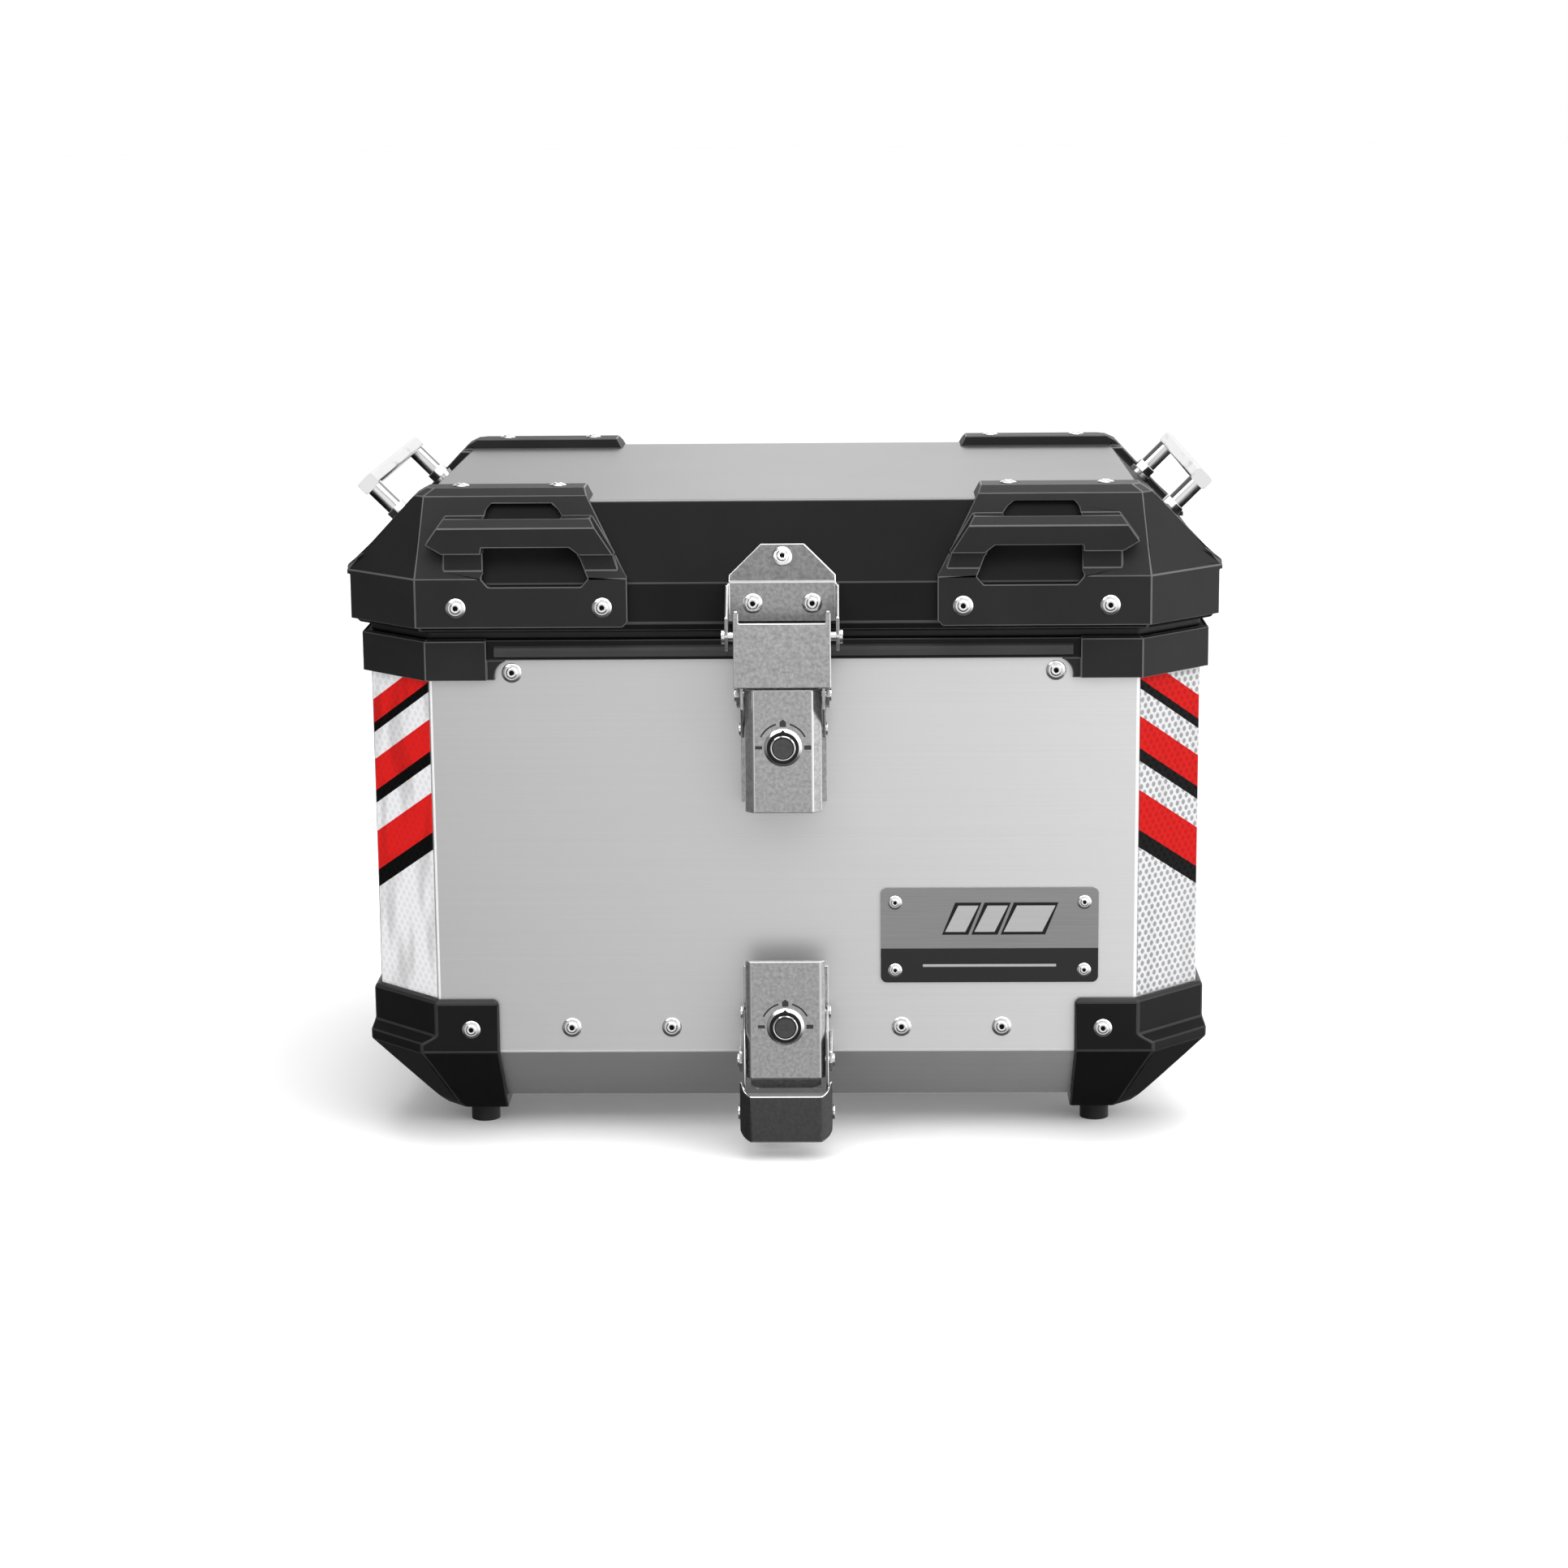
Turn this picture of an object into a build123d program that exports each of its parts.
from build123d import *
import os
from math import cos, radians, sin, sqrt

os.makedirs("parts", exist_ok=True)

# Top case for a motorcycle: aluminium body, hinged lid, two draw latches.
# Millimetres. X to the right, -Y the latch side, +Z up.
# Origin at the centre of the underside, at the height of the feet.

# Body
bodyHalfX = 206.5            # outer half width
bodyHalfY = 137.5            # outer half depth
cornerCut = 33.0             # leg of the 45 degree vertical corner faces
bodyWall = 2.0
bodyFloorZ = 16.6            # underside of the body sheet
foldZ = 49.3                 # height where the bottom bevel begins
bodyTopZ = 256.0
rimLowZ = 248.0              # underside of the black rim profile
rimTopZ = 258.0
rimOut = 2.2                 # how far the rim stands out from the sheet
sealTopZ = 262.4
footX = 157.0                # feet, from the middle
footY = 87.5
footR = 7.35

# Corner guards of the body
upperGuardLowZ = 238.2
upperGuardTopZ = 257.4
upperGuardOut = 3.8
upperGuardStartX = 145.0     # full thickness from here to the corner
lowerGuardLowZ = 10.0
lowerGuardTopZ = 76.6
lowerGuardStartX = 143.4
lowerGuardStartY = 71.0
lowerGuardFaceY = 141.0      # half depth over the guards' front faces

# Lid
lidHalfX = 214.5
lidHalfY = 146.5
lidCut = 36.5
lidWall = 2.5
lidBottomZ = 262.9
lidLipZ = 267.0              # top of the small bevel along the lower edge
lidBandZ = 287.0             # top of the upright band
lidTopZ = 324.2
lidTopHalfX = 177.2
lidTopHalfY = 131.5
lidTopCut = 4.3
panelThick = 1.2

# Hinge line at the rear
hingeY = 152.0
hingeZ = 263.0
hingePinR = 2.5
hingeRun = 0.06              # radial clearance of the moving knuckle
knuckleR = 4.5
leafWide = 46.0
leafThick = 2.0

# Latches
latchPinR = 2.0
latchRun = 0.06
latchFaceY = -161.5          # front face of both levers
latchPivotY = -152.5         # lever on base
latchLinkY = -147.5          # link on lever
leverRearY = -142.0
leverSheet = 1.6
basePlateY = -139.5
upperPivotZ = 232.5
upperLinkZ = 214.8
upperLockZ = 208.2
upperLeverHalf = 18.75       # half width
lowerPivotZ = 49.0
lowerLinkZ = 72.0
lowerLockZ = 68.4
lowerLeverHalf = 19.5
keeperY = -160.0             # pin under the link's claws
keeperZ = 262.4
keeperPinR = 2.2
hookHalf = 22.8
hookFaceY = -166.0
hookLowZ = 10.3
hookTopZ = 40.0
hookSheet = 1.6
hookPinY = -150.5
hookPinZ = 21.5
hookPinR = 2.5

# Locks
barrelR = 5.9
plugR = 4.5
collarR = 7.4

# Rivets
rivetR = 4.9
rivetHigh = 1.6
lowerRowZ = 61.7             # row above the bottom fold
upperRowZ = 241.5
lidRowZ = 275.3
guardRivetZ = 61.6

# Trim
plateLowX, plateHighX = 47.1, 154.9
plateLowZ, plateHighZ = 84.6, 133.0
plateThick = 1.0
tapeLowZ, tapeHighZ = 77.2, 238.0
tapeThick = 0.4

rootHalf = sqrt(0.5)


def save(name, *solids):
    """Write one node, as one solid or as a group of separate solids."""
    shape = solids[0] if len(solids) == 1 else Compound(children=list(solids))
    export_step(shape, "parts/" + name + ".step")


def only(shape):
    """The single solid of a boolean result."""
    found = shape.solids()
    assert len(found) == 1, len(found)
    return found[0]


def octagonWire(z, halfX, halfY, cut):
    x, y, kx, ky = halfX, halfY, halfX - cut, halfY - cut
    corners = [(kx, -y), (x, -ky), (x, ky), (kx, y), (-kx, y), (-x, ky), (-x, -ky), (-kx, -y)]
    return Wire.make_polygon([Vector(a, b, z) for a, b in corners])


def octagonSolid(levels):
    """A faceted solid through octagons (z, halfX, halfY, cut), flat faces between levels."""
    pieces = []
    for low, high in zip(levels, levels[1:]):
        pieces.append(Solid.make_loft([octagonWire(*low), octagonWire(*high)], ruled=True))
    whole = pieces[0]
    for piece in pieces[1:]:
        whole = whole + piece
    return whole


def grown(levels, amount):
    """The same octagons, moved out (or in) by the same amount on all eight sides."""
    step = amount * (2 - sqrt(2))
    return [(z, x + amount, y + amount, max(cut + step, 0.5)) for z, x, y, cut in levels]


def upright(z0, z1, out):
    """A straight length of the body's outline, moved out (or in) all round."""
    levels = [(z, bodyHalfX, bodyHalfY, cornerCut) for z in (z0, z1)]
    return octagonSolid(grown(levels, out))


def block(x0, x1, y0, y1, z0, z1):
    corners = [(x0, y0), (x1, y0), (x1, y1), (x0, y1)]
    outline = Wire.make_polygon([Vector(x, y, z0) for x, y in corners])
    return Solid.extrude(Face(outline), Vector(0, 0, z1 - z0))


def alongX(points, x0, x1):
    """A (y, z) outline extruded along X."""
    outline = Wire.make_polygon([Vector(x0, y, z) for y, z in points])
    return Solid.extrude(Face(outline), Vector(x1 - x0, 0, 0))


def alongY(points, y0, y1):
    """An (x, z) outline extruded along Y."""
    outline = Wire.make_polygon([Vector(x, y0, z) for x, z in points])
    return Solid.extrude(Face(outline), Vector(0, y1 - y0, 0))


def alongZ(points, z0, z1):
    """An (x, y) outline extruded along Z."""
    outline = Wire.make_polygon([Vector(x, y, z0) for x, y in points])
    return Solid.extrude(Face(outline), Vector(0, 0, z1 - z0))


def rod(start, direction, radius, length):
    return Solid.make_cylinder(radius, length, Plane(origin=start, z_dir=direction))


def rodX(x0, x1, y, z, radius):
    return rod((x0, y, z), (1, 0, 0), radius, x1 - x0)


def arc(x, z, radius, start, end, count=8):
    """Points (x, z) along an arc, angles in degrees."""
    turns = [start + (end - start) * k / count for k in range(count + 1)]
    return [(x + radius * cos(radians(t)), z + radius * sin(radians(t))) for t in turns]


def mirrored(shape, acrossX=False, acrossY=False):
    result = shape
    if acrossX:
        result = result.mirror(Plane.YZ)
    if acrossY:
        result = result.mirror(Plane.XZ)
    return result


def rivet(spot, normal, radius=rivetR, high=rivetHigh):
    """Head of a blind rivet: a flat dome with the pin hole in its middle."""
    seat = Plane(origin=spot, z_dir=normal)
    head = Solid.make_cone(radius, radius * 0.62, high, seat)
    hole = Solid.make_cylinder(radius * 0.24, high, seat.offset(high * 0.4))
    return only(head - hole)


# ---------------------------------------------------------------- body
bodyLevels = [
    (bodyFloorZ, 172.1, 103.1, 12.8),
    (foldZ, bodyHalfX, bodyHalfY, cornerCut),
    (bodyTopZ, bodyHalfX, bodyHalfY, cornerCut),
]
bodySolid = octagonSolid(bodyLevels)


def makeBody():
    inside = grown(bodyLevels, -bodyWall)
    inside[0] = (bodyFloorZ + bodyWall,) + inside[0][1:]
    shell = only(bodySolid - octagonSolid(inside))
    save("body_shell", shell)

    # Black profile that caps the sheet edge, with a flange for the seal
    skirt = upright(rimLowZ, rimTopZ, rimOut)
    mouth = upright(bodyTopZ, rimTopZ, -10)
    rim = only(skirt - bodySolid - mouth)
    save("body_rim", rim)

    seal = only(upright(rimTopZ, sealTopZ, -0.5) - upright(rimTopZ, sealTopZ, -6.5))
    save("rim_seal", seal)

    # Flat rails inside the walls, behind the lower rivet rows
    innerY = bodyWall - bodyHalfY
    rail = block(-118, 118, innerY, innerY + 2, 55, 71)
    save("inner_rails", rail, mirrored(rail, acrossY=True))


def makeUpperGuards():
    low, high, out = upperGuardLowZ, upperGuardTopZ, upperGuardOut
    topZ, slant = high + 1.8, 1.8
    top = [(high, bodyHalfX, bodyHalfY, cornerCut), (topZ, bodyHalfX - slant, bodyHalfY - slant, cornerCut)]
    outer = upright(low, high, out) + octagonSolid(grown(top, out))
    rimSpace = upright(rimLowZ, topZ, rimOut + 0.05)
    shell = outer - bodySolid - rimSpace
    thin = upright(low, topZ, 2.4) - bodySolid - rimSpace
    wide = block(upperGuardStartX, 220, -150, -76, low, 260)
    # The flange's inner edge curves round the rivet beside it
    flange = block(136, upperGuardStartX, -150, -120, low, rimLowZ)
    flange = flange - rod((133, -150, 239.8), (0, 1, 0), 8.2, 40)
    guard = only((shell & wide) + (thin & flange))
    for name, flipX, flipY in cornerNames:
        save("upper_guard_" + name, only(mirrored(guard, flipX, flipY)))


def makeLowerGuards():
    """Corner shoes: a plain band, a bumper that swells only on the corner face, then the bevel."""
    low, top, faceY = lowerGuardLowZ, lowerGuardTopZ, lowerGuardFaceY
    levels = [
        (low, 175.1, 103.1, 9.5),
        (low + 4, 179.5, 107.5, 11.0),
        (49.5, 211.5, faceY, 29.0),
        (54.0, 211.5, faceY, 29.0),
        (58.5, 210.0, faceY, 35.2),
        (top - 1.6, 210.0, faceY, 35.2),
        (top, 208.6, faceY - 1.4, 34.4),
    ]
    outer = octagonSolid(levels)
    x, y = lowerGuardStartX, lowerGuardStartY
    front = alongY([(x + 2, top), (x, top - 2), (x, low - 1), (230, low - 1), (230, top)], -160, -60)
    side = alongX([(-y - 2, top), (-y, top - 2), (-y, 50), (6 - y, 14), (6 - y, low - 1), (-160, low - 1),
                   (-160, top)], 120, 230)
    # A well in the pad under the floor leaves room for the foot
    footWell = rod((footX, -footY, low - 1), (0, 0, 1), footR + 1.65, 10)
    guard = only(((outer - bodySolid) & (front & side)) - footWell)
    for name, flipX, flipY in cornerNames:
        save("lower_guard_" + name, only(mirrored(guard, flipX, flipY)))


def makeFeet():
    feet = []
    for x in (-footX, footX):
        for y in (-footY, footY):
            feet.append(Solid.make_cylinder(footR, bodyFloorZ, Plane(origin=(x, y, 0))))
    save("feet", *feet)


cornerNames = [
    ("front_right", False, False),
    ("front_left", True, False),
    ("rear_right", False, True),
    ("rear_left", True, True),
]


# ---------------------------------------------------------------- lid
lidLevels = [
    (lidBottomZ, lidHalfX - 3.5, lidHalfY - 3.5, lidCut - 2.0),
    (lidLipZ, lidHalfX, lidHalfY, lidCut),
    (lidBandZ, lidHalfX, lidHalfY, lidCut),
    (lidTopZ, lidTopHalfX, lidTopHalfY, lidTopCut),
]
lidSolid = octagonSolid(lidLevels)
panelLevels = [
    (lidTopZ, lidTopHalfX, lidTopHalfY, lidTopCut),
    (lidTopZ + panelThick, lidTopHalfX - 1.2, lidTopHalfY - 0.5, lidTopCut - 0.3),
]


def makeLid():
    inside = [
        (lidBottomZ + 2.2, lidHalfX - 3.5, lidHalfY - 3.5, lidCut - 2.0),
        (lidBandZ, lidHalfX - lidWall, lidHalfY - lidWall, lidCut - 1.5),
        (lidTopZ - lidWall, lidTopHalfX - 1.0, lidTopHalfY - 2.0, lidTopCut),
    ]
    mouth = [(lidBottomZ, 198, 129, 28), (lidBottomZ + 2.2, 198, 129, 28)]
    shell = only(lidSolid - octagonSolid(inside) - octagonSolid(mouth))
    save("lid_shell", shell)
    save("lid_top_panel", octagonSolid(panelLevels))


def makeLidGuards():
    """Corner guards: a skin over the lid corner with a strap bar standing off its front slope."""
    skinLevels = [
        (265.5, 216.0, 150.0, 38.0),
        (289.5, 216.0, 150.0, 38.0),
        (328.0, 179.5, 133.5, 5.0),
        (331.0, 174.0, 125.5, 4.0),
    ]
    lidAndPanel = lidSolid + octagonSolid(panelLevels)
    skin = octagonSolid(skinLevels) - lidAndPanel
    # Front outline: upright inner edge below, slanted above; the band ends flush with the lid's side
    sideX = lidHalfX - 0.1
    front = alongY([(78, 265), (sideX, 265), (sideX, 287.3), (230, 287.3), (230, 332), (97, 332), (75, 290),
                    (75, 268)], -160, -108)
    corner = block(150, 230, -160, -97, 287.3, 332)
    guard = skin & (front + corner)
    guard = guard - block(70, 230, -108, -90, 325.3, 332)

    # Strap bar with cut ends and a bevelled top, standing in front of the slope
    barFace = [(81.2, 301.3), (97.8, 301.3), (102.7, 305.1), (144.7, 305.1), (145.2, 301.9), (164.2, 301.9),
               (172, 306.6), (163.5, 318.6), (92.5, 318.6)]
    bar = alongY(barFace, -153.5, -134.0)
    bevel = alongX([(-153.6, 314.4), (-153.6, 320), (-147.9, 320), (-147.9, 318.8)], 70, 180)
    guard = guard + ((bar - bevel) - lidAndPanel)

    # Cheeks beside the window, set back from the bar above and the band below
    innerCheek = [(77.5, 288), (99, 288), (99, 302), (82, 302)]
    outerCheek = [(144, 288), (164, 288), (164, 302), (144, 302)]
    for cheek in (innerCheek, outerCheek):
        guard = guard + (alongY(cheek, -148.3, -136.0) - lidAndPanel)

    # Way for a strap: behind the bar, out below it and out above it
    window = [(97.3, 285.5), (142.2, 285.5), (145.6, 289.6), (144.7, 292), (144.7, 305.1), (102.7, 305.1),
              (97.8, 299), (95.2, 292), (93.9, 289.4)]
    below = alongY(window, -160, -128)
    behind = block(100, 144, -148.5, -128, 296, 318)
    slot = alongY([(106, 317), (144.7, 317), (143.6, 321.6), (141.3, 324.4), (112.5, 324.4), (109, 321.6)],
                  -147.8, -128)
    guard = guard - below - behind - slot

    # Raised rib along the edge between the corner slope and the side slope
    low, high = Vector(214.9, -111.5, 290.5), Vector(181.0, -127.0, 325.8)
    along = (high - low).normalized()
    out = Vector(0.68, -0.28, 0.68).normalized()
    seat = Plane(origin=low - out * 1.2, x_dir=along, z_dir=out)
    rib = seat * (Pos((high - low).length / 2, 0, 1.2) * Box((high - low).length, 2.6, 2.4))
    guard = only(guard + (rib.solids()[0] - lidAndPanel))
    for name, flipX, flipY in cornerNames:
        save("lid_guard_" + name, only(mirrored(guard, flipX, flipY)))


# ---------------------------------------------------------------- side handles
handleHigh = 24.6            # middle of the bar above the slope
handleHalf = 84.0            # middle of each post from the lid's middle
handleFootZ = 7.5            # top of the hexagon collars above the slope
slopeX = 189.7
slopeZ = 311.9


def makeHandles():
    slopePlane = Plane(origin=(slopeX, 0, slopeZ), x_dir=(0, 1, 0), z_dir=(rootHalf, 0, rootHalf))

    def local(shape):
        return slopePlane * shape

    bar = local(Pos(0, 0, handleHigh) * Box(2 * handleHalf + 12, 9.6, 7)).solids()[0]
    long = bar.edges().filter_by(Axis.Y)
    grip = bar.fillet(1.8, long)
    for y in (-handleHalf, handleHalf):
        postLong = handleHigh - handleFootZ - 1.5
        grip = grip + local(Pos(y, 0, handleFootZ + postLong / 2) * Cylinder(4.4, postLong))
    collars, flanges, nuts = [], [], []
    for y in (-handleHalf, handleHalf):
        collars.append(local(Pos(y, 0, 2.5) * extrude(RegularPolygon(5.8, 6), 5)).solids()[0])
        flanges.append(local(Pos(y, 0, 1.25) * Cylinder(6.2, 2.5)).solids()[0])
        nutFace = Pos(y, 0, -lidWall - 0.6) * extrude(RegularPolygon(5.5, 6), -4)
        nuts.append(local(nutFace).solids()[0])
    for side, flip in (("right", False), ("left", True)):
        save("handle_grip_" + side, only(mirrored(only(grip), flip)))
    for name, group in (("collars", collars), ("flanges", flanges), ("nuts", nuts)):
        save("handle_" + name, *group, *[mirrored(piece, True) for piece in group])


# ---------------------------------------------------------------- hinges
def makeHinges():
    leaves, lidLeaves, pins, bodyRivets, lidRivets = [], [], [], [], []
    for sign in (-1, 1):
        x0 = 20.0 if sign > 0 else -20.0 - leafWide
        wallY = bodyHalfY + leafThick
        leafFace = [(bodyHalfY, 214), (wallY, 214), (wallY, 246), (bodyHalfY, 246)]
        web = [(wallY, 236), (153, 255.5), (156.3, 262), (148, 262), (145, 256), (140.3, 247.4), (wallY, 246)]
        bodyLeaf = alongX(leafFace, x0, x0 + leafWide)
        for a, b in ((0, 15), (31, leafWide)):
            knuckle = alongX(web, x0 + a, x0 + b) + rodX(x0 + a, x0 + b, hingeY, hingeZ, knuckleR)
            bodyLeaf = bodyLeaf + knuckle
        bodyLeaf = bodyLeaf - rodX(x0 - 1, x0 + leafWide + 1, hingeY, hingeZ, hingePinR)
        leaves.append(only(bodyLeaf))

        lidY = lidHalfY + leafThick
        lidLeaf = alongX([(lidHalfY, 268), (lidY, 268), (lidY, 285.5), (lidHalfY, 285.5)], x0, x0 + leafWide)
        tongue = [(lidHalfY + 0.1, 268), (lidY, 272), (154.5, 266.5), (151, 263), (147.6, 264)]
        lidLeaf = lidLeaf + alongX(tongue, x0 + 15.3, x0 + 30.7)
        lidLeaf = lidLeaf + rodX(x0 + 15.3, x0 + 30.7, hingeY, hingeZ, knuckleR)
        lidLeaf = lidLeaf - rodX(x0 - 1, x0 + leafWide + 1, hingeY, hingeZ, hingePinR + hingeRun)
        lidLeaves.append(only(lidLeaf))
        pins.append(rodX(x0 - 0.8, x0 + leafWide + 0.8, hingeY, hingeZ, hingePinR))
        for x in (x0 + 8, x0 + leafWide - 8):
            bodyRivets.append(rivet((x, wallY, 222), (0, 1, 0), 3.4, 1.3))
            lidRivets.append(rivet((x, lidY, 278.5), (0, 1, 0), 3.4, 1.3))
    save("hinge_body_leaves", *leaves)
    save("hinge_lid_leaves", *lidLeaves)
    save("hinge_pins", *pins)
    save("hinge_body_rivets", *bodyRivets)
    save("hinge_lid_rivets", *lidRivets)


# ---------------------------------------------------------------- latches
def makeLock(prefix, lockZ):
    """Cam lock through the lever's face: barrel, plug, cam and nut."""
    collar = rod((0, latchFaceY, lockZ), (0, -1, 0), collarR, 3.0)
    shank = rod((0, latchFaceY, lockZ), (0, 1, 0), barrelR, 11.5)
    bore = rod((0, latchFaceY - 4, lockZ), (0, 1, 0), plugR + latchRun, 20)
    save(prefix + "_lock_barrel", only(collar + shank - bore))
    plug = rod((0, latchFaceY - 2.6, lockZ), (0, 1, 0), plugR, 15.2)
    tail = rod((0, latchFaceY + 12.6, lockZ), (0, 1, 0), 2.5, 5.4)
    keyway = block(-0.6, 0.6, latchFaceY - 3, latchFaceY + 6, lockZ - 3, lockZ + 3)
    save(prefix + "_lock_plug", only(plug + tail - keyway))
    cam = block(-3, 3, -145.5, -143.5, lockZ - 14, lockZ + 3.4)
    save(prefix + "_lock_cam", only(cam - rod((0, -146, lockZ), (0, 1, 0), 2.5, 4)))
    hexagon = extrude(RegularPolygon(8.6, 6), 3)
    nut = (Plane(origin=(0, latchFaceY + leverSheet, lockZ), z_dir=(0, 1, 0)) * hexagon).solids()[0]
    save(prefix + "_lock_nut", only(nut - rod((0, latchFaceY, lockZ), (0, 1, 0), barrelR, 12)))


def leverChannel(half, bevel, z0, z1):
    """Pressed channel, open towards the case, with bevelled front corners."""
    outer = [(-half, leverRearY), (-half, latchFaceY + bevel), (bevel - half, latchFaceY),
             (half - bevel, latchFaceY), (half, latchFaceY + bevel), (half, leverRearY)]
    t = leverSheet
    inset = bevel + 0.41 * t
    inner = [(t - half, leverRearY), (t - half, latchFaceY + inset), (inset - half, latchFaceY + t),
             (half - inset, latchFaceY + t), (half - t, latchFaceY + inset), (half - t, leverRearY)]
    return alongZ(outer, z0, z1) - alongZ(inner, z0 - 1, z1 + 1)


def pivotPins(half, ends, y, z):
    """One short headed pin on each side."""
    pins = []
    for sign in (-1, 1):
        low, high = sorted((sign * (half - 3.2), sign * ends))
        headLow, headHigh = sorted((sign * ends, sign * (ends + 1.0)))
        pins.append(rodX(low, high, y, z, latchPinR) + rodX(headLow, headHigh, y, z, 3.2))
    return [only(pin) for pin in pins]


def strikerTab(lockZ):
    """Bent tab on the base that the turned cam slides behind."""
    leg = block(14.9, 16.3, -148, basePlateY, lockZ - 7, lockZ + 0.6)
    tongue = block(8, 16.3, -148, -146.6, lockZ - 7, lockZ + 0.6)
    return leg + tongue


def makeUpperLatch():
    pivotZ, linkZ, lockZ, half = upperPivotZ, upperLinkZ, upperLockZ, upperLeverHalf
    plate = block(-21, 21, basePlateY, -bodyHalfY, 177, 241)
    plate = plate + block(-22.5, 22.5, basePlateY, -bodyHalfY, 224, 241)
    ear = [(basePlateY, 224), (-150, 226), (-156, 228), (-158, 232.5), (-156, 237), (basePlateY, 237.5)]
    base = plate + alongX(ear, 20.9, 22.5) + alongX(ear, -22.5, -20.9) + strikerTab(lockZ)
    base = base - rodX(-30, 30, latchPivotY, pivotZ, latchPinR)
    save("upper_latch_base", only(base))
    save("upper_lever_pins", *pivotPins(half, 22.5, latchPivotY, pivotZ))

    lever = leverChannel(half, 4.3, 175.7, 236.4)
    lever = lever - rodX(-30, 30, latchPivotY, pivotZ, latchPinR + latchRun)
    lever = lever - rodX(-30, 30, latchLinkY, linkZ, latchPinR)
    lever = lever - rod((0, latchFaceY - 1, lockZ), (0, 1, 0), barrelR, 5)
    save("upper_lever", only(lever))
    save("upper_link_pins", *pivotPins(half, 20.6, latchLinkY, linkZ))
    makeLock("upper", lockZ)

    # Link: front plate, short side flanges, and an arm on each side down to the lever
    link = block(-23.5, 23.5, -165, -163.2, 237.9, 269.4)
    claw = alongX([(-165, 262), (-163.2, 262), (-163.2, 276), (-165, 276)], 20.9, 23.5)
    claw = claw & alongY([(20.8, 260), (23.6, 260)] + arc(22.2, 274.1, 1.35, 0, 180), -166, -162)
    arm = [(-163.2, 252), (-156.8, 252), (-156.8, 228), (-150, 219), (-143.4, 216.4), (-143.4, 213),
           (-146, 210.7), (-149, 210.7), (-153, 213), (-163.2, 227)]
    for sign in (-1, 1):
        flange = sorted((sign * 21.9, sign * 23.5))
        link = link + block(flange[0], flange[1], -163.2, -157, 239, 257)
        link = link + mirrored(claw, acrossX=sign < 0)
        link = link + alongX(arm, *sorted((sign * 19.05, sign * 20.55)))
    link = link - rodX(-30, 30, latchLinkY, linkZ, latchPinR + latchRun)
    save("upper_link", only(link))


def makeKeeper():
    """Bracket on the lid that carries the pin for the upper link."""
    run, rise = lidHalfY - lidTopHalfY, lidTopZ - lidBandZ
    length = sqrt(run * run + rise * rise)
    sheet = 1.6
    outY, outZ = -sheet * rise / length, sheet * run / length
    topZ = 304.4
    topY = -lidHalfY + run * (topZ - lidBandZ) / rise
    faceY = -lidHalfY - sheet
    bendZ = lidBandZ + outZ - (sheet + outY) * rise / run
    plate = alongX([(-lidHalfY, 268), (-lidHalfY, lidBandZ), (faceY, bendZ), (faceY, 268)], -26, 26)
    slopeSide = [(-lidHalfY, lidBandZ), (topY, topZ), (topY + outY, topZ + outZ), (faceY, bendZ)]
    slope = alongX(slopeSide, -26, 26)
    trapezoid = [(-26, 280), (26, 280), (26, 290.5), (9.5, 306), (-9.5, 306), (-26, 290.5)]
    ear = [(-lidHalfY, 286.6), (-150, 286), (-162.5, 272), (-164.6, 263), (-163, 256.5), (-158, 254.8),
           (-152, 258), (-148, 266), (-lidHalfY, 268)]
    bracket = plate + (slope & alongY(trapezoid, -160, -120))
    bracket = bracket + alongX(ear, 26, 27.6) + alongX(ear, -27.6, -26)
    bracket = bracket - rodX(-30, 30, keeperY, keeperZ, keeperPinR)
    save("keeper_bracket", only(bracket))
    pin = rodX(-27.6, 27.6, keeperY, keeperZ, keeperPinR)
    pin = pin + rodX(27.6, 29.2, keeperY, keeperZ, 3.6) + rodX(-29.2, -27.6, keeperY, keeperZ, 3.6)
    save("keeper_pin", only(pin))
    slopeOut = (0, -rise / length, run / length)
    midZ = 298.4
    midY = -lidHalfY + run * (midZ - lidBandZ) / rise
    heads = [rivet((0, midY + outY, midZ + outZ), slopeOut)]
    heads += [rivet((x, faceY, 276.7), (0, -1, 0)) for x in (-14.4, 14.4)]
    save("keeper_rivets", *heads)


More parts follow.
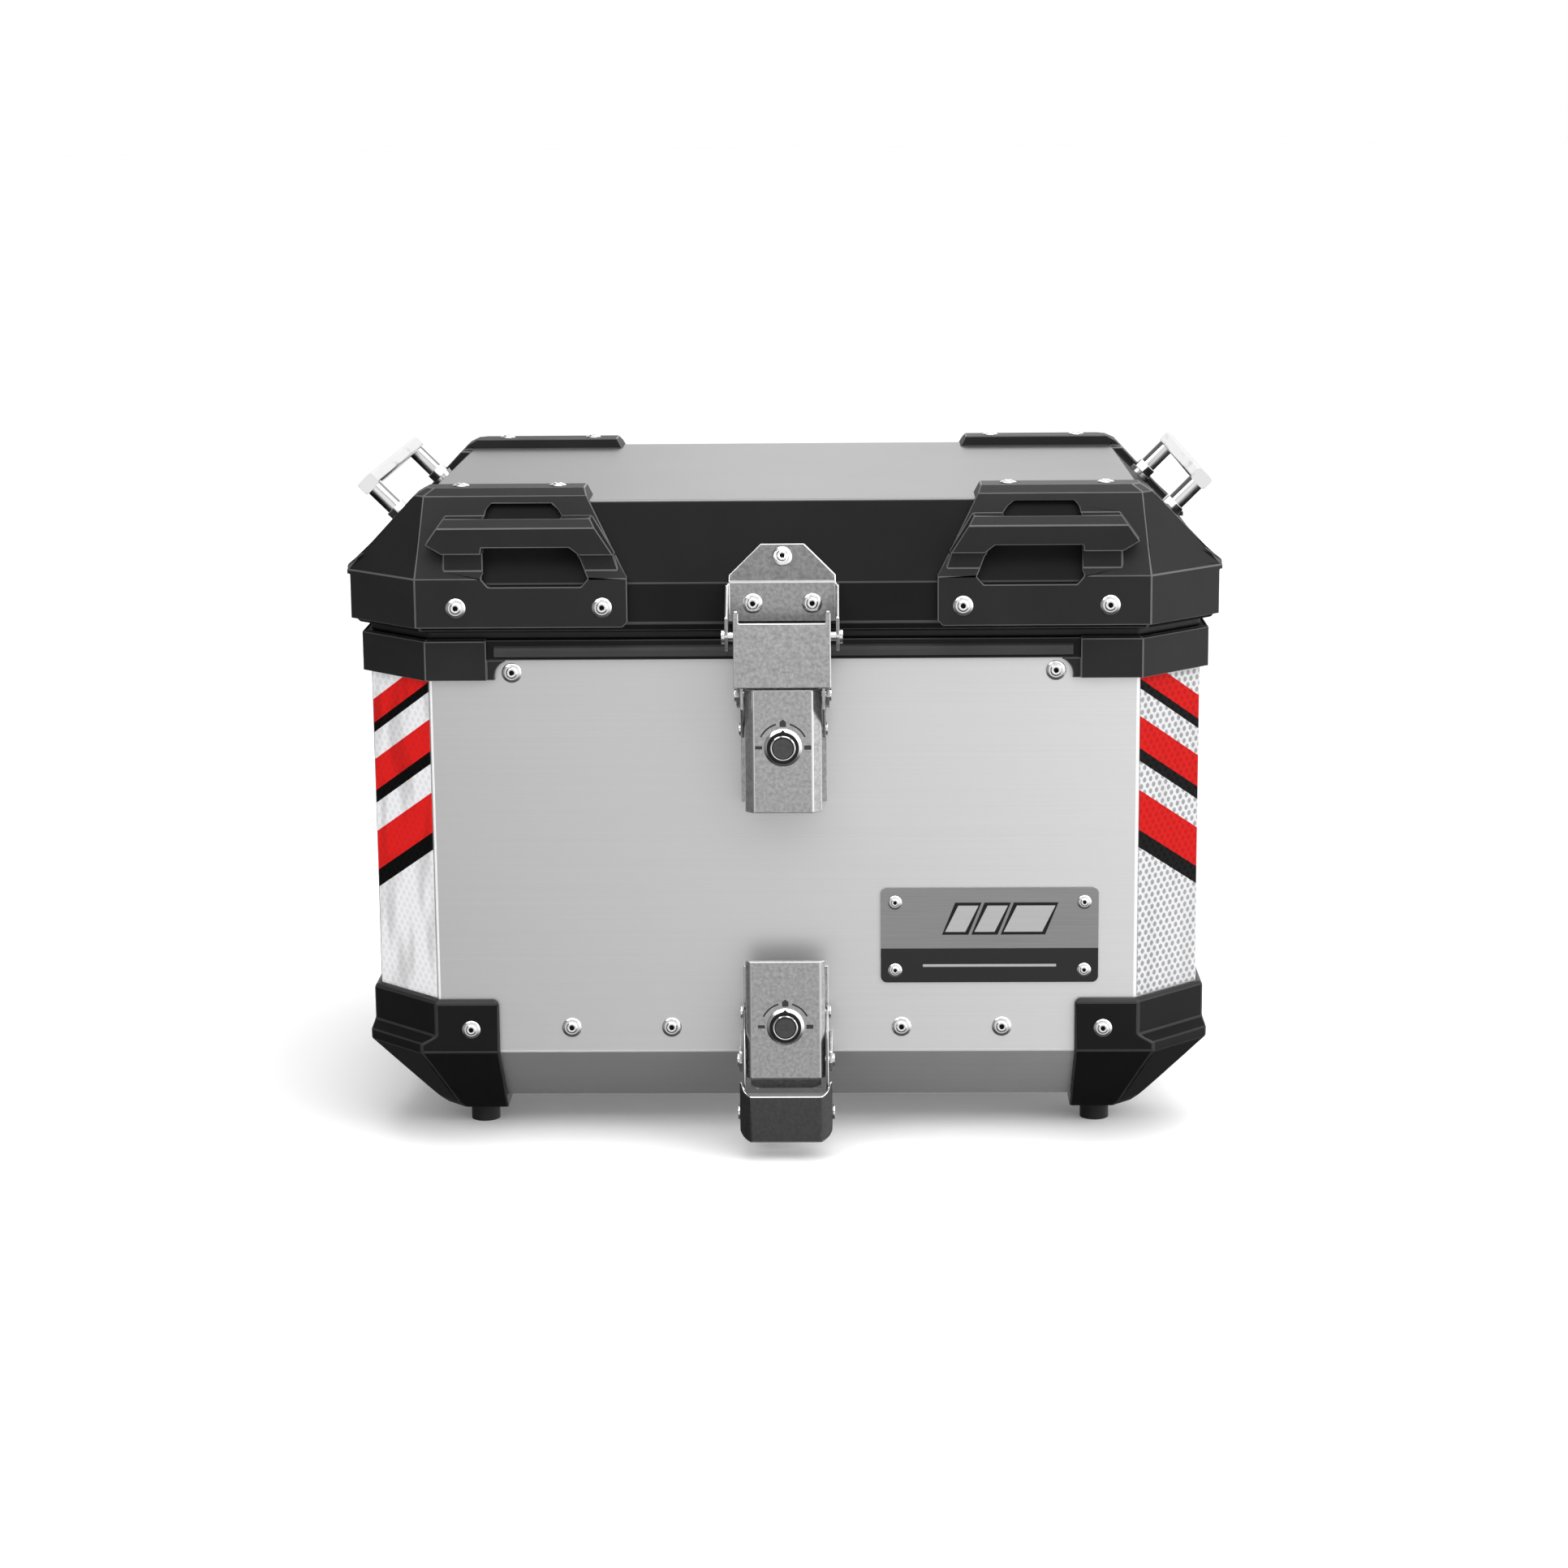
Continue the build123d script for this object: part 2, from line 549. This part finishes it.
def makeLowerLatch():
    pivotZ, linkZ, lockZ, half = lowerPivotZ, lowerLinkZ, lowerLockZ, lowerLeverHalf
    plate = block(-21, 21, basePlateY, -bodyHalfY, 51.5, 93.5)
    plate = plate + block(-23, 23, basePlateY, -bodyHalfY, 51.5, 60)
    ear = [(basePlateY, 60), (-148, 58), (-156, 54), (-158.3, 49), (-156, 44), (-150, 42.8), (-143, 46),
           (basePlateY, 52)]
    base = plate + alongX(ear, 21.5, 23) + alongX(ear, -23, -21.5) + strikerTab(lockZ)
    base = base - rodX(-30, 30, latchPivotY, pivotZ, latchPinR)
    save("lower_latch_base", only(base))
    save("lower_lever_pins", *pivotPins(half, 23.0, latchPivotY, pivotZ))

    lever = leverChannel(half, 2.2, 42.0, 101.4)
    # The sides grow shallower towards the top, where a short lip closes the channel
    lever = lever - alongX([(-141, 78), (-158, 99.8), (-158, 103), (-141, 103)], -25, 25)
    lever = lever + block(-17.9, 17.9, -160.5, -158, 99.8, 101.4)
    lipSide = [(latchFaceY, 42), (-157.5, 35.6), (-156.2, 36.4), (latchFaceY + leverSheet, 42)]
    lip = alongX(lipSide, 2.2 - half, half - 2.2)
    lever = (lever + lip) & alongY(arc(-11.6, 43.5, 8, 180, 270) + arc(11.6, 43.5, 8, 270, 360)
                                   + [(19.6, 102), (-19.6, 102)], -170, -130)
    lever = lever - rodX(-30, 30, latchPivotY, pivotZ, latchPinR + latchRun)
    lever = lever - rodX(-30, 30, latchLinkY, linkZ, latchPinR)
    lever = lever - rod((0, latchFaceY - 1, lockZ), (0, 1, 0), barrelR, 5)
    save("lower_lever", only(lever))
    save("lower_link_pins", *pivotPins(half, 21.3, latchLinkY, linkZ))
    makeLock("lower", lockZ)

    # Hook: U-shaped in plan, hung from the lever by two arms
    half, faceY, low, high, sheet, cut = hookHalf, hookFaceY, hookLowZ, hookTopZ, hookSheet, 5.0
    outer = [(-half, -146), (-half, faceY + cut), (cut - half, faceY), (half - cut, faceY),
             (half, faceY + cut), (half, -146)]
    near = cut + 0.41 * sheet
    inner = [(sheet - half, -145), (sheet - half, faceY + near), (near - half, faceY + sheet),
             (half - near, faceY + sheet), (half - sheet, faceY + near), (half - sheet, -145)]
    hook = alongZ(outer, low, high) - alongZ(inner, low - 1, high + 1)
    # Rounded lower corners, and a front edge that rises in a curve at each end, clear of the ears behind
    face = arc(6.4 - half, low + 6.5, 6.5, 180, 270) + arc(half - 6.4, low + 6.5, 6.5, 270, 360)
    face += [(half + 0.1, high), (half - 1.2, high)] + arc(half - 6.3, high - 0.9, 5.1, 0, -90)
    face += arc(6.3 - half, high - 0.9, 5.1, -90, -180) + [(1.2 - half, high), (-half - 0.1, high)]
    hook = (hook & alongY(face, -170, -140)) - block(-30, 30, -159, -140, high - 6, high + 1)
    arm = [(-143.4, 70.4), (-143.4, 74), (-146, 76.1), (-149, 76.1), (-153, 74), (-162.8, 60), (-162.8, 40),
           (-160.6, 34), (-160.6, 22), (-150, 22), (-150, 34), (-156.8, 40), (-156.8, 58), (-150, 67)]
    for sign in (-1, 1):
        hook = hook + alongX(arm, *sorted((sign * 19.8, sign * 21.2)))
    hook = hook - rodX(-30, 30, latchLinkY, linkZ, latchPinR + latchRun)
    hook = hook - rodX(-30, 30, hookPinY, hookPinZ, hookPinR)
    save("lower_hook", only(hook))
    pin = rodX(-half, half, hookPinY, hookPinZ, hookPinR)
    for headX in (half, -half - 1.2):
        pin = pin + rodX(headX, headX + 1.2, hookPinY, hookPinZ, 3.6)
    save("lower_hook_pin", only(pin))


# ---------------------------------------------------------------- trim and rivets
def makeTrim():
    faceY = -bodyHalfY - plateThick
    plate = block(plateLowX, plateHighX, faceY, -bodyHalfY, plateLowZ, plateHighZ)
    plate = plate.fillet(3.2, plate.edges().filter_by(Axis.Y))
    save("name_plate", plate)
    xs, zs = (plateLowX + 7.1, plateHighX - 7.1), (plateLowZ + 6.3, plateHighZ - 7.6)
    spots = [(x, faceY, z) for x in xs for z in zs]
    save("plate_rivets", *[rivet(spot, (0, -1, 0), 3.5, 1.2) for spot in spots])

    # Reflective tape on the two front corner faces
    inset, side = 0.8, rootHalf * tapeThick
    a = (bodyHalfX - cornerCut + inset, -bodyHalfY + inset)
    b = (bodyHalfX - inset, -bodyHalfY + cornerCut - inset)
    tape = alongZ([a, b, (b[0] + side, b[1] - side), (a[0] + side, a[1] - side)], tapeLowZ, tapeHighZ)
    save("tape_right", tape)
    save("tape_left", mirrored(tape, acrossX=True))


def makeRivets():
    bodyHeads, lidHeads = [], []
    for flipY in (-1, 1):
        wall = flipY * bodyHalfY
        normal = (0, flipY, 0)
        for x in (-107.2, -57.3, 57.3, 107.2):
            bodyHeads.append(rivet((x, wall, lowerRowZ), normal))
        for x in (-133, 133):
            bodyHeads.append(rivet((x, wall, upperRowZ), normal))
        for x in (-157.3, 157.3):
            bodyHeads.append(rivet((x, flipY * lowerGuardFaceY, guardRivetZ), normal, 4.6, 1.5))
        for x in (-158.3, -87.3, 87.3, 158.3):
            lidHeads.append(rivet((x, flipY * 150.0, lidRowZ), normal))
        for x in (-157.8, -110.2, 110.2, 157.8):
            lidHeads.append(rivet((x, flipY * 116.5, 331.0), (0, 0, 1), 4.2, 1.4))
    save("body_rivets", *bodyHeads)
    save("lid_rivets", *lidHeads)
    spots = [(x, basePlateY, z) for x in (-9, 9) for z in (56.5, 87.5, 184, 226)]
    baseHeads = [rivet(spot, (0, -1, 0), 3.4, 1.2) for spot in spots]
    save("latch_base_rivets", *baseHeads)


def makeDock():
    """Two hooks under the rear of the floor that slide under a rack tube."""
    hook = alongX([(70, bodyFloorZ), (98, bodyFloorZ), (98, 5), (84, 5), (84, 8), (94, 8), (94, 13.6),
                   (70, 13.6)], 50, 80)
    save("dock_hooks", hook, mirrored(hook, acrossX=True))


makeBody()
makeUpperGuards()
makeLowerGuards()
makeFeet()
makeLid()
makeLidGuards()
makeHandles()
makeHinges()
makeUpperLatch()
makeKeeper()
makeLowerLatch()
makeTrim()
makeRivets()
makeDock()
print("parts written:", len(os.listdir("parts")))
